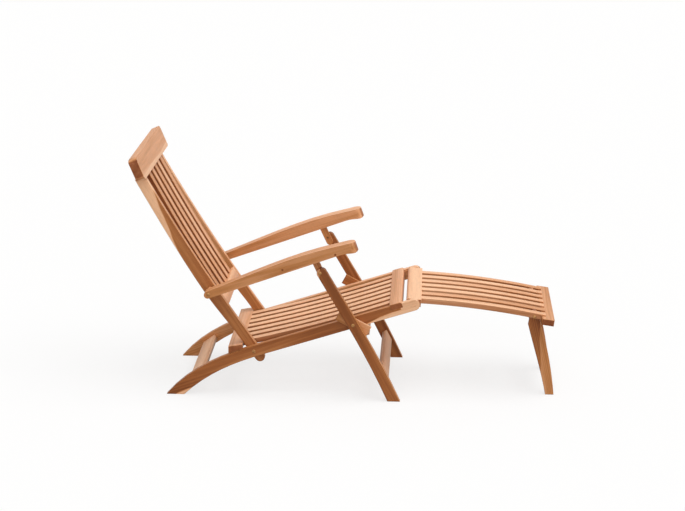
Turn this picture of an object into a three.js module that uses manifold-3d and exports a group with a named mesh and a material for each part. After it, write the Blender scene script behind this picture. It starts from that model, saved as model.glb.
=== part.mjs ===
import * as THREE from "three";
import { mergeVertices } from "three/addons/utils/BufferGeometryUtils.js";
import Module from "manifold-3d";

const wasm = await Module();
wasm.setup();

// Frame: x forward to the feet, y to the sitter's left, z up from the floor
// Lengths are in millimetres and angles in degrees

// Gaps between pieces
const fit_gap = 0.3;
const turn_gap = 0.4;
const overrun = 2;
const edge_round = 1.6;

// Boards and gaps across the width, from the back's outer face outwards
const stile_outer = 230;
const stile_thickness = 24;
const rail_side_gap = 1;
const rail_thickness = 24;
const leg_side_gap = 11;
const leg_thickness = 24;
const foot_leg_side_gap = 0.9;
const foot_leg_thickness = 20;

// Side rails
const seat_angle = 17.8;
const rail_depth = 42;
const rail_sole_length = 66;
const rail_toe_angle = 50.4;
const rail_heel_angle = 43.4;
const rail_bend_reach = 30;
const rail_top_share = 0.34;
const rail_bottom_share = 0.36;
const back_pivot_x = 330.7;
const back_pivot_z = 175;
const leg_pivot_reach = 391.5;
const foot_pivot_reach = 628;

// Rear stretcher between the rails
const rear_stretcher_x = 113;
const rear_stretcher_z = 67.8;
const rear_stretcher_angle = 36.4;
const rear_stretcher_width = 54;
const rear_stretcher_depth = 20;

// Seat crossrails
const rear_crossrail_width = 54;
const rear_crossrail_setback = 43.2;
const rear_crossrail_rise = 27.3;
const rear_crossrail_angle = 10.4;
const rear_crossrail_front_depth = 20;
const rear_crossrail_rear_depth = 29;
const front_crossrail_gap = 12;
const front_crossrail_width = 46;
const front_crossrail_depth = 22;
const front_crossrail_rise = 5;
const front_crossrail_nose = 9;

// Seat slats
const seat_slat_count = 7;
const seat_slat_edge_gap = 31.75;
const seat_slat_width = 34;
const seat_slat_depth = 19;
const seat_slat_rear_drop = 1.5;
const seat_slat_front_drop = 5;
const seat_slat_dip = 9;
const tenon_length = 12;

// Back
const back_root_angle = 126.1;
const back_tip_angle = 119.7;
const back_chord_angle = 122.8;
const back_length = 777;
const back_foot_reach = 35;
const stile_depth = 37;
const stile_low_reach = 68;
const stile_knee_reach = 290;
const stile_knee_bulge = 9;
const stile_top_bulge = 3;
const stile_tenon_depth = 7;
const stile_tenon_shift = 11.5;
const stile_tenon_width = 12;
const back_slat_count = 5;
const back_slat_edge_gap = 40.6;
const back_slat_width = 40;
const back_slat_depth = 15;
const back_slat_setback = 8;
const back_slat_lead = 4;
const back_crossrail_reach = 195;
const back_crossrail_height = 44;
const back_crossrail_depth = 22;

// Headrest board
const headrest_half_width = 319;
const headrest_height = 88;
const headrest_crown = 3;
const headrest_depth = 34;
const headrest_angle = 113.1;
const headrest_shift = 18.5;
const headrest_top_corner = 26;
const headrest_foot_corner = 15;
const headrest_rear_round = 16;

// Arms
const arm_pivot_reach = 283;
const arm_pivot_angle = 125.5;
const arm_angle = 19.9;
const arm_shift = 9;
const arm_rear_width = 44;
const arm_front_width = 57;
const arm_length = 608;
const arm_rear_overhang = 18;
const arm_depth = 35;
const arm_rear_depth = 27;
const arm_arch_front_angle = 6.5;
const arm_arch_rear_angle = 2.5;
const arm_rise = 2;
const arm_droop_length = 95;
const arm_droop = 8;
const arm_nose_round = 19.5;
const arm_nose_length = 34;
const arm_spacer_round = 11;

// Arm lugs and the pivot at the top of the legs
const lug_pivot_setback = 124.16;
const lug_pivot_rise = 197.72;
const lug_width = 26;
const lug_lower_reach = 18;
const lug_upper_reach = 50;
const lug_angle = 115.4;
const lug_inset = 0.5;

// Main legs
const leg_top_drop = 4;
const leg_top_shift = 5.5;
const leg_top_angle = -59.4;
const leg_sole_angle = -65.6;
const leg_top_width = 37;
const leg_sole_lead = 131;
const leg_sole_length = 47;
const leg_bend_share = 0.36;
const block_length = 132;
const block_depth = 40;
const block_angle = -27.6;
const stop_bar_reach = 24;
const stop_bar_width = 20;
const stop_bar_depth = 40;
const leg_stretcher_lead = 115;
const leg_stretcher_z = 91;
const leg_stretcher_angle = -62.1;
const leg_stretcher_height = 45;
const leg_stretcher_depth = 19;

// Footrest
const foot_angle = -6;
const foot_crossrail_rear = 30;
const foot_crossrail_front = 25;
const foot_crossrail_top = 18;
const foot_crossrail_bottom = 12;
const foot_crossrail_nose = 6;
const foot_slat_edge_gap = 35.1;
const foot_slat_length = 455;
const foot_slat_root_rise = 14;
const foot_slat_tip_rise = 6.5;
const foot_slat_depth = 19;
const foot_slat_bow = 9;
const end_board_half_width = 236;
const end_board_width = 46;
const end_board_depth = 24;
const end_board_angle = -8.1;
const end_board_drop = 4;

// Footrest legs
const foot_leg_pivot_inset = 27.5;
const foot_leg_pivot_drop = 4;
const foot_leg_top_round = 14;
const foot_leg_shoulder_drop = 41.8;
const foot_leg_shoulder_setback = 20.78;
const foot_leg_shoulder_width = 49;
const foot_leg_sole_lead = 51.22;
const foot_leg_sole_length = 32;
const foot_leg_bend_share = 0.33;
const foot_leg_front_sole_angle = 95.5;
const foot_leg_front_shoulder_angle = 107;
const foot_leg_rear_shoulder_angle = -75;
const foot_leg_rear_sole_angle = -79;
const foot_leg_neck_angle = 10;
const foot_bar_lead = 43.22;
const foot_bar_z = 131;
const foot_bar_angle = -75.6;
const foot_bar_height = 36;
const foot_bar_depth = 20;

// Bolts
const bolt_round = 4;
const bolt_head_round = 7;
const bolt_head_height = 2.6;
const bolt_rim_height = 1;
const bolt_socket_round = 2.6;
const bolt_socket_depth = 1.8;
const bolt_sides = 12;
const hinge_bolt_hold = 21;
const hinge_hole_depth = 26;
const curve_steps = 8;
const curve_share = 1 / 3;

// Planes across the width, each measured from the middle
const stile_inner = stile_outer - stile_thickness;
const rail_inner = stile_outer + rail_side_gap;
const rail_outer = rail_inner + rail_thickness;
const leg_inner = rail_outer + leg_side_gap;
const leg_outer = leg_inner + leg_thickness;
const arm_middle = leg_inner + arm_shift;

const chair = new THREE.Group();
chair.name = "steamer_deck_chair";
const right_angle = 90;
const straight_angle = 180;
const radian = Math.PI / straight_angle;
const sides = [["right", -1], ["left", 1]];

function point(x, z) {
  return new THREE.Vector2(x, z);
}

// The point at a reach along a heading, and to the left of that heading
function along(origin, angle, reach, left = 0) {
  const step = point(reach, left).rotateAround(point(0, 0), angle * radian);
  return step.add(origin);
}

function outline(points) {
  return new THREE.Shape(points);
}

// Bends a shape from its last point, leaving and arriving at the given headings
function bend(shape, from, from_angle, to, to_angle, share = curve_share) {
  const handle = from.distanceTo(to) * share;
  const first = along(from, from_angle, handle);
  const second = along(to, to_angle, -handle);
  shape.bezierCurveTo(first.x, first.y, second.x, second.y, to.x, to.y);
}

// A bent bar of even depth between two places, with extra length past both ends
function bentBar(from, from_angle, to, to_angle, depth, extra = 0) {
  const half = depth / 2;
  const low_start = along(from, from_angle, 0, -half);
  const low_end = along(to, to_angle, 0, -half);
  const high_end = along(to, to_angle, 0, half);
  const high_start = along(from, from_angle, 0, half);
  const shape = new THREE.Shape();
  const first = along(low_start, from_angle, -extra);
  shape.moveTo(first.x, first.y);
  shape.lineTo(low_start.x, low_start.y);
  bend(shape, low_start, from_angle, low_end, to_angle);
  for (const corner of [along(low_end, to_angle, extra), along(high_end, to_angle, extra), high_end]) {
    shape.lineTo(corner.x, corner.y);
  }
  bend(shape, high_end, to_angle + straight_angle, high_start, from_angle + straight_angle);
  const last = along(high_start, from_angle, -extra);
  shape.lineTo(last.x, last.y);
  return shape;
}

// A four-sided outline drawn along a heading
function plank(origin, angle, rear, front, bottom, top) {
  return outline([
    along(origin, angle, rear, bottom),
    along(origin, angle, front, bottom),
    along(origin, angle, front, top),
    along(origin, angle, rear, top),
  ]);
}

// Gives an upright outline its thickness across the chair
function across(shape, from_y, to_y, round = edge_round) {
  const low = Math.min(from_y, to_y);
  const high = Math.max(from_y, to_y);
  const geometry = new THREE.ExtrudeGeometry(shape, {
    depth: high - low - 2 * round,
    curveSegments: curve_steps,
    bevelEnabled: round > 0,
    bevelThickness: round,
    bevelSize: round,
    bevelOffset: -round,
    bevelSegments: 1,
  });
  geometry.rotateX(Math.PI / 2);
  geometry.translate(0, high - round, 0);
  return geometry;
}

function toSolid(geometry) {
  const bare = geometry.clone();
  bare.deleteAttribute("normal");
  bare.deleteAttribute("uv");
  const welded = mergeVertices(bare);
  return new wasm.Manifold(new wasm.Mesh({
    numProp: 3,
    vertProperties: new Float32Array(welded.attributes.position.array),
    triVerts: new Uint32Array(welded.index.array),
  }));
}

function toGeometry(solid) {
  const mesh = solid.getMesh();
  const geometry = new THREE.BufferGeometry();
  geometry.setAttribute("position", new THREE.BufferAttribute(mesh.vertProperties, 3));
  geometry.setIndex(new THREE.BufferAttribute(mesh.triVerts, 1));
  return geometry;
}

function cut(geometry, tools) {
  let solid = toSolid(geometry);
  for (const tool of tools) {
    solid = solid.subtract(toSolid(tool));
  }
  return toGeometry(solid);
}

function join(geometry, other) {
  return toGeometry(toSolid(geometry).add(toSolid(other)));
}

function keep(geometry, other) {
  return toGeometry(toSolid(geometry).intersect(toSolid(other)));
}

// A round tool or rod lying across the chair
function rod(centre, round, from_y, to_y) {
  const geometry = new THREE.CylinderGeometry(round, round, Math.abs(to_y - from_y), bolt_sides);
  geometry.translate(centre.x, (from_y + to_y) / 2, centre.y);
  return geometry;
}

function boltHole(centre, side, inner, outer) {
  return rod(centre, bolt_round + turn_gap, side * (inner - overrun), side * (outer + overrun));
}

function add(name, geometry, finish) {
  geometry.computeVertexNormals();
  const material = new THREE.MeshStandardMaterial({
    color: finish.color,
    roughness: finish.roughness,
    metalness: finish.metalness,
  });
  const mesh = new THREE.Mesh(geometry, material);
  mesh.name = name;
  chair.add(mesh);
}

const light_teak = { color: 0xd9a06c, roughness: 0.62, metalness: 0 };
const mid_teak = { color: 0xc4854f, roughness: 0.62, metalness: 0 };
const dark_teak = { color: 0xa5683a, roughness: 0.64, metalness: 0 };
const brass = { color: 0xc9a45c, roughness: 0.32, metalness: 0.9 };

// Pivot places in the side view
const back_pivot = point(back_pivot_x, back_pivot_z);
const leg_pivot = along(back_pivot, seat_angle, leg_pivot_reach);
const foot_pivot = along(back_pivot, seat_angle, foot_pivot_reach);
const arm_pivot = along(back_pivot, arm_pivot_angle, arm_pivot_reach);
const lug_pivot = point(leg_pivot.x - lug_pivot_setback, leg_pivot.y + lug_pivot_rise);
const foot_slat_front = foot_crossrail_front + foot_slat_length;
const foot_leg_reach = foot_slat_front - foot_leg_pivot_inset;
const foot_leg_pivot = along(foot_pivot, foot_angle, foot_leg_reach, -foot_leg_pivot_drop);
const rear_crossrail_front = point(back_pivot.x - rear_crossrail_setback, back_pivot.y + rear_crossrail_rise);
const front_crossrail_front = foot_pivot_reach - foot_crossrail_rear - front_crossrail_gap;
const front_crossrail_reach = front_crossrail_front - front_crossrail_width;

// The middles of a row of slats, evenly spaced from one outer slat to the other
function slatMiddles(count, outer) {
  return Array.from({ length: count }, (_, place) => outer * (2 * place / (count - 1) - 1));
}

// Seat crossrails, each let into the tops of both rails
function rearCrossrail(gap) {
  const front = rear_crossrail_front;
  const rear = along(front, rear_crossrail_angle, -rear_crossrail_width);
  return outline([
    point(front.x + gap, front.y + gap),
    point(rear.x - gap, rear.y + gap),
    point(rear.x - gap, rear.y - rear_crossrail_rear_depth - gap),
    point(front.x + gap, front.y - rear_crossrail_front_depth - gap),
  ]);
}

function frontCrossrail(gap) {
  const top = rail_depth / 2 + front_crossrail_rise + gap;
  const bottom = rail_depth / 2 + front_crossrail_rise - front_crossrail_depth - gap;
  const rear = front_crossrail_reach - gap;
  const front = front_crossrail_front + gap;
  const shape = new THREE.Shape();
  const start = along(back_pivot, seat_angle, rear, bottom);
  const low = along(back_pivot, seat_angle, front, bottom);
  const nose_low = along(back_pivot, seat_angle, front, top - front_crossrail_nose);
  const nose_edge = along(back_pivot, seat_angle, front, top);
  const nose_high = along(back_pivot, seat_angle, front - front_crossrail_nose, top);
  const rear_high = along(back_pivot, seat_angle, rear, top);
  shape.moveTo(start.x, start.y);
  shape.lineTo(low.x, low.y);
  shape.lineTo(nose_low.x, nose_low.y);
  shape.quadraticCurveTo(nose_edge.x, nose_edge.y, nose_high.x, nose_high.y);
  shape.lineTo(rear_high.x, rear_high.y);
  return shape;
}

// Seat slats, bent down a little in the middle, with their ends let into the crossrails
function seatSlat(middle, gap) {
  const rear_drop = seat_slat_rear_drop + seat_slat_depth / 2;
  const rear = point(rear_crossrail_front.x, rear_crossrail_front.y - rear_drop);
  const front_top = rail_depth / 2 + front_crossrail_rise - seat_slat_front_drop;
  const front = along(back_pivot, seat_angle, front_crossrail_reach, front_top - seat_slat_depth / 2);
  const chord = Math.atan2(front.y - rear.y, front.x - rear.x) / radian;
  const swing = Math.atan2(4 * seat_slat_dip, rear.distanceTo(front)) / radian;
  const depth = seat_slat_depth + 2 * gap;
  const shape = bentBar(rear, chord - swing, front, chord + swing, depth, tenon_length + gap);
  const half = seat_slat_width / 2 + gap;
  return across(shape, middle - half, middle + half, gap > 0 ? 0 : edge_round);
}

const outer_seat_slat = rail_inner - seat_slat_edge_gap - seat_slat_width / 2;
const seat_slat_middles = slatMiddles(seat_slat_count, outer_seat_slat);
const seat_mortises = seat_slat_middles.map((middle) => seatSlat(middle, fit_gap));
seat_slat_middles.forEach((middle, place) => {
  add(`seat_slat_${place + 1}`, seatSlat(middle, 0), place % 2 ? mid_teak : light_teak);
});
const rear_crossrail_blank = across(rearCrossrail(0), -rail_outer, rail_outer);
const front_crossrail_blank = across(frontCrossrail(0), -rail_outer, rail_outer);
add("seat_rear_crossrail", cut(rear_crossrail_blank, seat_mortises), mid_teak);
add("seat_front_crossrail", cut(front_crossrail_blank, seat_mortises), light_teak);

// Side rails: straight under the seat, bent down to the rear foot, round at the front hinge
const half_rail = rail_depth / 2;
const toe = point(0, 0);
const heel = point(rail_sole_length, 0);
const bend_low = along(back_pivot, seat_angle, rail_bend_reach, -half_rail);
const bend_high = along(back_pivot, seat_angle, rail_bend_reach, half_rail);
const rail_low = along(foot_pivot, seat_angle, 0, -half_rail);
const rail_shape = new THREE.Shape();
rail_shape.moveTo(toe.x, toe.y);
rail_shape.lineTo(heel.x, heel.y);
bend(rail_shape, heel, rail_heel_angle, bend_low, seat_angle, rail_bottom_share);
rail_shape.lineTo(rail_low.x, rail_low.y);
rail_shape.absarc(
  foot_pivot.x, foot_pivot.y, half_rail,
  (seat_angle - right_angle) * radian, (seat_angle + right_angle) * radian, false,
);
rail_shape.lineTo(bend_high.x, bend_high.y);
bend(
  rail_shape, bend_high, seat_angle + straight_angle,
  toe, rail_toe_angle + straight_angle, rail_top_share,
);
const crossrail_reach = rail_outer + overrun;
const rail_tools = [
  across(rearCrossrail(fit_gap), -crossrail_reach, crossrail_reach, 0),
  across(frontCrossrail(fit_gap), -crossrail_reach, crossrail_reach, 0),
];
for (const [side_name, side] of sides) {
  const tools = [...rail_tools];
  for (const pivot of [back_pivot, leg_pivot, foot_pivot]) {
    tools.push(boltHole(pivot, side, rail_inner, rail_outer));
  }
  const sink = rail_outer - bolt_head_height - fit_gap;
  tools.push(rod(foot_pivot, bolt_head_round + turn_gap, side * sink, side * crossrail_reach));
  const rail_blank = across(rail_shape, side * rail_inner, side * rail_outer);
  add(`side_rail_${side_name}`, cut(rail_blank, tools), mid_teak);
}
const rear_stretcher = point(rear_stretcher_x, rear_stretcher_z);
const rear_stretcher_shape = plank(
  rear_stretcher, rear_stretcher_angle,
  -rear_stretcher_width / 2, rear_stretcher_width / 2, -rear_stretcher_depth / 2, rear_stretcher_depth / 2,
);
const stretcher_end = rail_inner - fit_gap;
add("rear_stretcher", across(rear_stretcher_shape, -stretcher_end, stretcher_end), light_teak);

// Back: two bent stiles that are deepest at the arms, a lower crossrail, slats and the headrest board
const back_tip = along(back_pivot, back_chord_angle, back_length);
const back_line = new THREE.CubicBezierCurve(
  back_pivot,
  along(back_pivot, back_root_angle, back_length * curve_share),
  along(back_tip, back_tip_angle, -back_length * curve_share),
  back_tip,
);

function onBack(reach) {
  const share = reach / back_length;
  const heading = back_line.getTangent(share);
  return { place: back_line.getPoint(share), angle: Math.atan2(heading.y, heading.x) / radian };
}

const stile_foot = along(back_pivot, back_root_angle, -back_foot_reach);
const half_stile = stile_depth / 2;
const stile_shape = new THREE.Shape();
const stile_front_low = along(stile_foot, back_root_angle, 0, -half_stile);
const stile_front_high = along(back_tip, headrest_angle, -fit_gap, -half_stile);
const stile_rear_high = along(back_tip, headrest_angle, -fit_gap, half_stile + stile_top_bulge);
const stile_knee = onBack(stile_knee_reach);
const stile_rear_knee = along(stile_knee.place, stile_knee.angle, 0, half_stile + stile_knee_bulge);
const stile_low = onBack(stile_low_reach);
const stile_rear_bend = along(stile_low.place, stile_low.angle, 0, half_stile);
const stile_rear_low = along(stile_foot, back_root_angle, 0, half_stile);
stile_shape.moveTo(stile_front_low.x, stile_front_low.y);
bend(stile_shape, stile_front_low, back_root_angle, stile_front_high, back_tip_angle);
stile_shape.lineTo(stile_rear_high.x, stile_rear_high.y);
const stile_rear_line = [
  [stile_rear_high, back_tip_angle + straight_angle],
  [stile_rear_knee, stile_knee.angle + straight_angle],
  [stile_rear_bend, stile_low.angle + straight_angle],
  [stile_rear_low, back_root_angle + straight_angle],
];
for (let place = 1; place < stile_rear_line.length; place += 1) {
  bend(stile_shape, ...stile_rear_line[place - 1], ...stile_rear_line[place]);
}
stile_shape.absarc(
  stile_foot.x, stile_foot.y, half_stile,
  (back_root_angle + right_angle) * radian, (back_root_angle - right_angle) * radian, false,
);

function stileTenon(side, gap) {
  const half = stile_tenon_depth / 2 + gap;
  const low = -stile_tenon_shift - half;
  const shape = plank(back_tip, back_tip_angle, -tenon_length, tenon_length + gap, low, low + 2 * half);
  const middle = side * (stile_inner + stile_outer) / 2;
  const half_width = stile_tenon_width / 2 + gap;
  return across(shape, middle - half_width, middle + half_width, 0);
}

function backSlat(middle, gap) {
  const low = onBack(back_crossrail_reach + back_crossrail_height);
  const middle_depth = back_slat_depth / 2 - half_stile;
  const from = along(low.place, low.angle, 0, middle_depth + back_slat_setback);
  const to = along(back_tip, back_tip_angle, 0, middle_depth - back_slat_lead);
  const depth = back_slat_depth + 2 * gap;
  const shape = bentBar(from, low.angle, to, back_tip_angle, depth, tenon_length + gap);
  const half = back_slat_width / 2 + gap;
  return across(shape, middle - half, middle + half, gap > 0 ? 0 : edge_round);
}

const outer_back_slat = stile_inner - back_slat_edge_gap - back_slat_width / 2;
const back_slat_middles = slatMiddles(back_slat_count, outer_back_slat);
const back_mortises = back_slat_middles.map((middle) => backSlat(middle, fit_gap));
back_slat_middles.forEach((middle, place) => {
  add(`back_slat_${place + 1}`, backSlat(middle, 0), place % 2 ? light_teak : mid_teak);
});
const back_rung = onBack(back_crossrail_reach);
const back_crossrail_shape = plank(
  back_rung.place, back_rung.angle, 0, back_crossrail_height, -half_stile, back_crossrail_depth - half_stile,
);
const back_crossrail_end = stile_inner - fit_gap;
add(
  "back_lower_crossrail",
  cut(across(back_crossrail_shape, -back_crossrail_end, back_crossrail_end), back_mortises),
  light_teak,
);

// Headrest board: ahead of the stiles, round at its top rear edge, kept within a crowned front outline
const headrest_rear = headrest_depth / 2 - headrest_shift;
const headrest_front = -headrest_depth / 2 - headrest_shift;
const headrest_top = headrest_height + headrest_crown;
const headrest_side = new THREE.Shape();
const headrest_corners = [
  [0, headrest_front],
  [headrest_top, headrest_front],
  [headrest_top, headrest_rear - headrest_rear_round],
  [headrest_top, headrest_rear],
  [headrest_top - headrest_rear_round, headrest_rear],
  [0, headrest_rear],
].map(([reach, left]) => along(back_tip, headrest_angle, reach, left));
const [board_foot, board_top, round_start, round_corner, round_end, board_heel] = headrest_corners;
headrest_side.moveTo(board_foot.x, board_foot.y);
headrest_side.lineTo(board_top.x, board_top.y);
headrest_side.lineTo(round_start.x, round_start.y);
headrest_side.quadraticCurveTo(round_corner.x, round_corner.y, round_end.x, round_end.y);
headrest_side.lineTo(board_heel.x, board_heel.y);
const crown_front = new THREE.Shape();
const corner_height = headrest_height - headrest_top_corner;
const corner_start = headrest_half_width - headrest_top_corner;
const foot_start = headrest_half_width - headrest_foot_corner;
crown_front.moveTo(-foot_start, 0);
crown_front.lineTo(foot_start, 0);
crown_front.quadraticCurveTo(headrest_half_width, 0, headrest_half_width, headrest_foot_corner);
crown_front.lineTo(headrest_half_width, corner_height);
crown_front.quadraticCurveTo(headrest_half_width, headrest_height, corner_start, headrest_height);
crown_front.quadraticCurveTo(0, headrest_height + 2 * headrest_crown, -corner_start, headrest_height);
crown_front.quadraticCurveTo(-headrest_half_width, headrest_height, -headrest_half_width, corner_height);
crown_front.lineTo(-headrest_half_width, headrest_foot_corner);
crown_front.quadraticCurveTo(-headrest_half_width, 0, -foot_start, 0);
const crown_depth = 2 * (headrest_depth + headrest_shift);
const crown = new THREE.ExtrudeGeometry(crown_front, {
  depth: crown_depth,
  curveSegments: curve_steps,
  bevelEnabled: false,
});
crown.translate(0, 0, -crown_depth / 2);
crown.rotateZ(Math.PI / 2);
crown.rotateY((straight_angle - headrest_angle) * radian);
crown.translate(back_tip.x, 0, back_tip.y);
const headrest_blank = keep(across(headrest_side, -headrest_half_width, headrest_half_width), crown);
const headrest_mortises = [...back_mortises];
for (const [, side] of sides) {
  headrest_mortises.push(stileTenon(side, fit_gap));
}
add("headrest_board", cut(headrest_blank, headrest_mortises), light_teak);
for (const [side_name, side] of sides) {
  const stile = join(across(stile_shape, side * stile_inner, side * stile_outer), stileTenon(side, 0));
  const tools = [back_pivot, arm_pivot].map((pivot) => boltHole(pivot, side, stile_inner, stile_outer));
  add(`back_stile_${side_name}`, cut(stile, tools), mid_teak);
}

// Arms: a side outline with a drooping nose, kept within a plan outline that widens to the front
const half_arm = arm_depth / 2;

function armPoint(reach, rise) {
  return along(arm_pivot, arm_angle, reach, arm_rise + rise);
}

const droop_start = arm_length - arm_droop_length;
const droop_angle = arm_angle - 2 * Math.atan2(arm_droop, arm_droop_length) / radian;
const arm_shape = new THREE.Shape();
const arm_rear_round = arm_rear_depth / 2;
const arm_rear = armPoint(arm_rear_round - arm_rear_overhang, arm_rear_round - half_arm);
const arm_low_start = along(arm_rear, arm_angle, 0, -arm_rear_round);
const arm_high_start = along(arm_rear, arm_angle, 0, arm_rear_round);
const arm_low_bend = armPoint(droop_start, -half_arm);
const arm_high_bend = armPoint(droop_start, half_arm);
const arm_nose = armPoint(arm_length - arm_rear_overhang - arm_nose_round, -arm_droop);
const arm_low_nose = along(arm_nose, droop_angle, 0, -arm_nose_round);
const arm_high_nose = along(arm_nose, droop_angle, 0, arm_nose_round);
arm_shape.moveTo(arm_low_start.x, arm_low_start.y);
arm_shape.lineTo(arm_low_bend.x, arm_low_bend.y);
bend(arm_shape, arm_low_bend, arm_angle, arm_low_nose, droop_angle);
arm_shape.absarc(
  arm_nose.x, arm_nose.y, arm_nose_round,
  (droop_angle - right_angle) * radian, (droop_angle + right_angle) * radian, false,
);
arm_shape.lineTo(arm_high_nose.x, arm_high_nose.y);
const arch_angle = arm_angle + straight_angle - arm_arch_front_angle;
bend(arm_shape, arm_high_nose, droop_angle + straight_angle, arm_high_bend, arch_angle);
bend(
  arm_shape, arm_high_bend, arch_angle,
  arm_high_start, arm_angle + straight_angle + arm_arch_rear_angle,
);
arm_shape.absarc(
  arm_rear.x, arm_rear.y, arm_rear_round,
  (arm_angle + right_angle) * radian, (arm_angle + straight_angle + right_angle) * radian, false,
);

// The plan outline of one arm, laid along its slope
function armPlan(side) {
  const shape = new THREE.Shape();
  const rear = -arm_rear_overhang - overrun;
  const front = arm_length - arm_rear_overhang - arm_nose_length;
  const tip = front + arm_nose_length;
  const rear_half = arm_rear_width / 2;
  const front_half = arm_front_width / 2;
  shape.moveTo(rear, -rear_half);
  shape.lineTo(front, -front_half);
  shape.bezierCurveTo(tip, -front_half, tip, front_half, front, front_half);
  shape.lineTo(rear, rear_half);
  const height = 2 * arm_length;
  const geometry = new THREE.ExtrudeGeometry(shape, {
    depth: height,
    curveSegments: curve_steps,
    bevelEnabled: false,
  });
  geometry.translate(0, 0, -height / 2);
  geometry.rotateY(-arm_angle * radian);
  geometry.translate(arm_pivot.x, side * arm_middle, arm_pivot.y);
  return geometry;
}

const lug_outer = leg_inner - lug_inset;
const lug_inner = rail_outer + lug_inset;

function lugShape(gap) {
  const half = lug_width / 2 + gap;
  const shape = new THREE.Shape();
  const foot = along(lug_pivot, lug_angle, -lug_lower_reach);
  const front_high = along(lug_pivot, lug_angle, lug_upper_reach + gap, -half);
  const rear_high = along(lug_pivot, lug_angle, lug_upper_reach + gap, half);
  shape.moveTo(front_high.x, front_high.y);
  shape.lineTo(rear_high.x, rear_high.y);
  shape.absarc(
    foot.x, foot.y, half,
    (lug_angle + right_angle) * radian, (lug_angle - right_angle) * radian, false,
  );
  return shape;
}

for (const [side_name, side] of sides) {
  const lug_slot = across(lugShape(fit_gap), side * (lug_inner - fit_gap), side * (lug_outer + fit_gap), 0);
  const arm_blank = keep(
    across(arm_shape, side * (arm_middle - arm_front_width), side * (arm_middle + arm_front_width)),
    armPlan(side),
  );
  const arm_hole = boltHole(arm_pivot, side, arm_middle - arm_front_width, arm_middle + arm_front_width);
  add(`armrest_${side_name}`, cut(arm_blank, [lug_slot, arm_hole]), mid_teak);
  const lug_blank = across(lugShape(0), side * lug_inner, side * lug_outer);
  add(`arm_lug_${side_name}`, cut(lug_blank, [boltHole(lug_pivot, side, lug_inner, lug_outer)]), light_teak);
  const spacer_inner = stile_outer + fit_gap;
  const spacer_outer = arm_middle - arm_rear_width / 2 - turn_gap - fit_gap;
  const spacer = rod(arm_pivot, arm_spacer_round, side * spacer_inner, side * spacer_outer);
  const spacer_hole = boltHole(arm_pivot, side, spacer_inner, spacer_outer);
  add(`arm_spacer_${side_name}`, cut(spacer, [spacer_hole]), dark_teak);
}

// Leg frame: two bent legs with a block inside each, the stop bar under the rails and a stretcher
const leg_top = along(lug_pivot, leg_top_angle, leg_top_drop, leg_top_shift);
const half_leg = leg_top_width / 2;
const leg_shape = new THREE.Shape();
const leg_front_high = along(leg_top, leg_top_angle, 0, half_leg);
const leg_rear_high = along(leg_top, leg_top_angle, 0, -half_leg);
const sole_rear = point(leg_pivot.x + leg_sole_lead, 0);
const sole_front = point(sole_rear.x + leg_sole_length, 0);
leg_shape.moveTo(leg_rear_high.x, leg_rear_high.y);
bend(leg_shape, leg_rear_high, leg_top_angle, sole_rear, leg_sole_angle, leg_bend_share);
leg_shape.lineTo(sole_front.x, sole_front.y);
bend(
  leg_shape, sole_front, leg_sole_angle + straight_angle,
  leg_front_high, leg_top_angle + straight_angle, leg_bend_share,
);
leg_shape.absarc(
  leg_top.x, leg_top.y, half_leg,
  (leg_top_angle + right_angle) * radian, (leg_top_angle + straight_angle + right_angle) * radian, false,
);
const block_shape = plank(
  leg_pivot, block_angle, -block_length / 2, block_length / 2, -block_depth / 2, block_depth / 2,
);
for (const [side_name, side] of sides) {
  const leg_tools = [leg_pivot, lug_pivot].map((pivot) => boltHole(pivot, side, leg_inner, leg_outer));
  const leg_blank = across(leg_shape, side * leg_inner, side * leg_outer);
  add(`main_leg_${side_name}`, cut(leg_blank, leg_tools), dark_teak);
  const block = across(block_shape, side * lug_inner, side * (leg_inner - fit_gap));
  add(`pivot_block_${side_name}`, cut(block, [boltHole(leg_pivot, side, lug_inner, leg_inner)]), mid_teak);
}
const stop_bar_shape = plank(
  leg_pivot, seat_angle, stop_bar_reach, stop_bar_reach + stop_bar_width,
  -half_rail - fit_gap - stop_bar_depth, -half_rail - fit_gap,
);
add("stop_crossbar", across(stop_bar_shape, -rail_outer, rail_outer), mid_teak);
const leg_stretcher_shape = plank(
  point(leg_pivot.x + leg_stretcher_lead, leg_stretcher_z), leg_stretcher_angle,
  -leg_stretcher_height / 2, leg_stretcher_height / 2, -leg_stretcher_depth / 2, leg_stretcher_depth / 2,
);
const leg_stretcher_end = leg_inner - fit_gap;
add("leg_stretcher", across(leg_stretcher_shape, -leg_stretcher_end, leg_stretcher_end), light_teak);

// Footrest: a rear crossrail that turns between the rails, bent slats and an end board
const foot_rail_end = stile_outer;
const foot_rail_shape = new THREE.Shape();
const foot_rail_corners = [
  [-foot_crossrail_rear, -foot_crossrail_bottom + foot_crossrail_nose],
  [-foot_crossrail_rear + foot_crossrail_nose, -foot_crossrail_bottom],
  [foot_crossrail_front, -foot_crossrail_bottom],
  [foot_crossrail_front, foot_crossrail_top],
  [-foot_crossrail_rear + foot_crossrail_nose, foot_crossrail_top],
  [-foot_crossrail_rear, foot_crossrail_top - foot_crossrail_nose],
].map(([reach, rise]) => along(foot_pivot, foot_angle, reach, rise));
foot_rail_shape.setFromPoints(foot_rail_corners);

const half_foot_slat = foot_slat_depth / 2;
const slat_root = along(foot_pivot, foot_angle, foot_crossrail_front, foot_slat_root_rise - half_foot_slat);
const slat_tip = along(foot_pivot, foot_angle, foot_slat_front, foot_slat_tip_rise - half_foot_slat);

function footSlat(middle, gap) {
  const chord = Math.atan2(slat_tip.y - slat_root.y, slat_tip.x - slat_root.x) / radian;
  const swing = Math.atan2(4 * foot_slat_bow, foot_slat_length) / radian;
  const depth = foot_slat_depth + 2 * gap;
  const shape = bentBar(slat_root, chord + swing, slat_tip, chord - swing, depth, tenon_length + gap);
  const half = seat_slat_width / 2 + gap;
  return across(shape, middle - half, middle + half, gap > 0 ? 0 : edge_round);
}

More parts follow.
